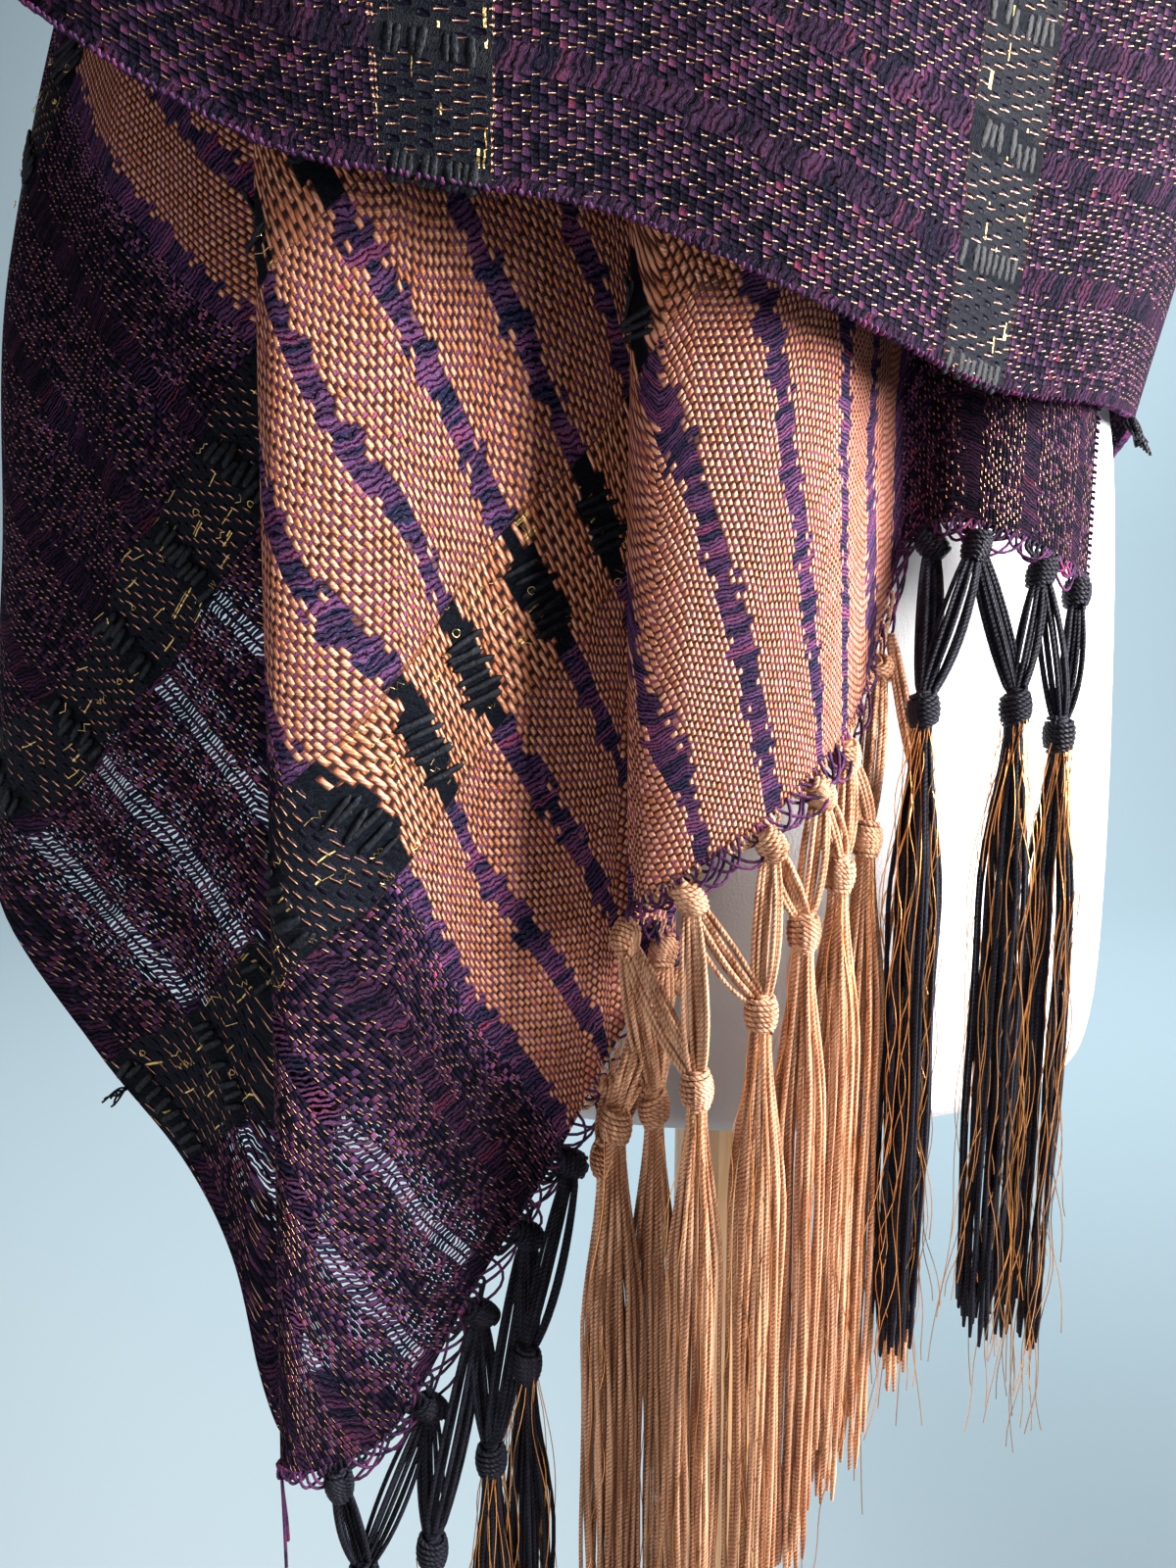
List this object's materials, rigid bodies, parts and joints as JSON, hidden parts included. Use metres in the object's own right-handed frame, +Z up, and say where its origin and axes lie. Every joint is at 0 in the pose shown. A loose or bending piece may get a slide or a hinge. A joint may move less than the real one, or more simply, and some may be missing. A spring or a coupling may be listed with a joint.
{
  "type": "pashmina shawl on a dress form",
  "caption": "Handwoven striped pashmina shawl with gold-flecked bands and a knotted fringe, wrapped round a limbless dress form on a round wooden stand.",
  "frame": {"origin": "on the floor, at the middle of the stand's round base, under the pole", "axes": "+Z up; the form faces -Y; +X to the right of someone who looks at its front"},
  "size_m": [0.5081, 0.42, 1.5003],
  "materials": {
    "shawl_cloth": "handwoven wool, navy, plum and tan, with copper thread",
    "tan_yarn": "twisted silk-like yarn",
    "black_yarn": "twisted yarn with a copper filament",
    "form_cloth": "smooth white jersey",
    "wood": "pale wood, satin"
  },
  "bodies": {
    "root": {"form_torso": "form_cloth", "neck_cap": "wood", "pole": "wood", "base": "wood", "front_end": "shawl_cloth", "left_shoulder": "shawl_cloth", "back_stretch": "shawl_cloth", "right_shoulder": "shawl_cloth", "front_crossing": "shawl_cloth", "thrown_end": "shawl_cloth", "fringe_front_dark_left": "black_yarn", "fringe_front_tan": "tan_yarn", "fringe_front_dark_right": "black_yarn", "fringe_back_dark_hem": "black_yarn", "fringe_back_tan": "tan_yarn", "fringe_back_dark_neck": "black_yarn"}
  },
  "joints": []
}
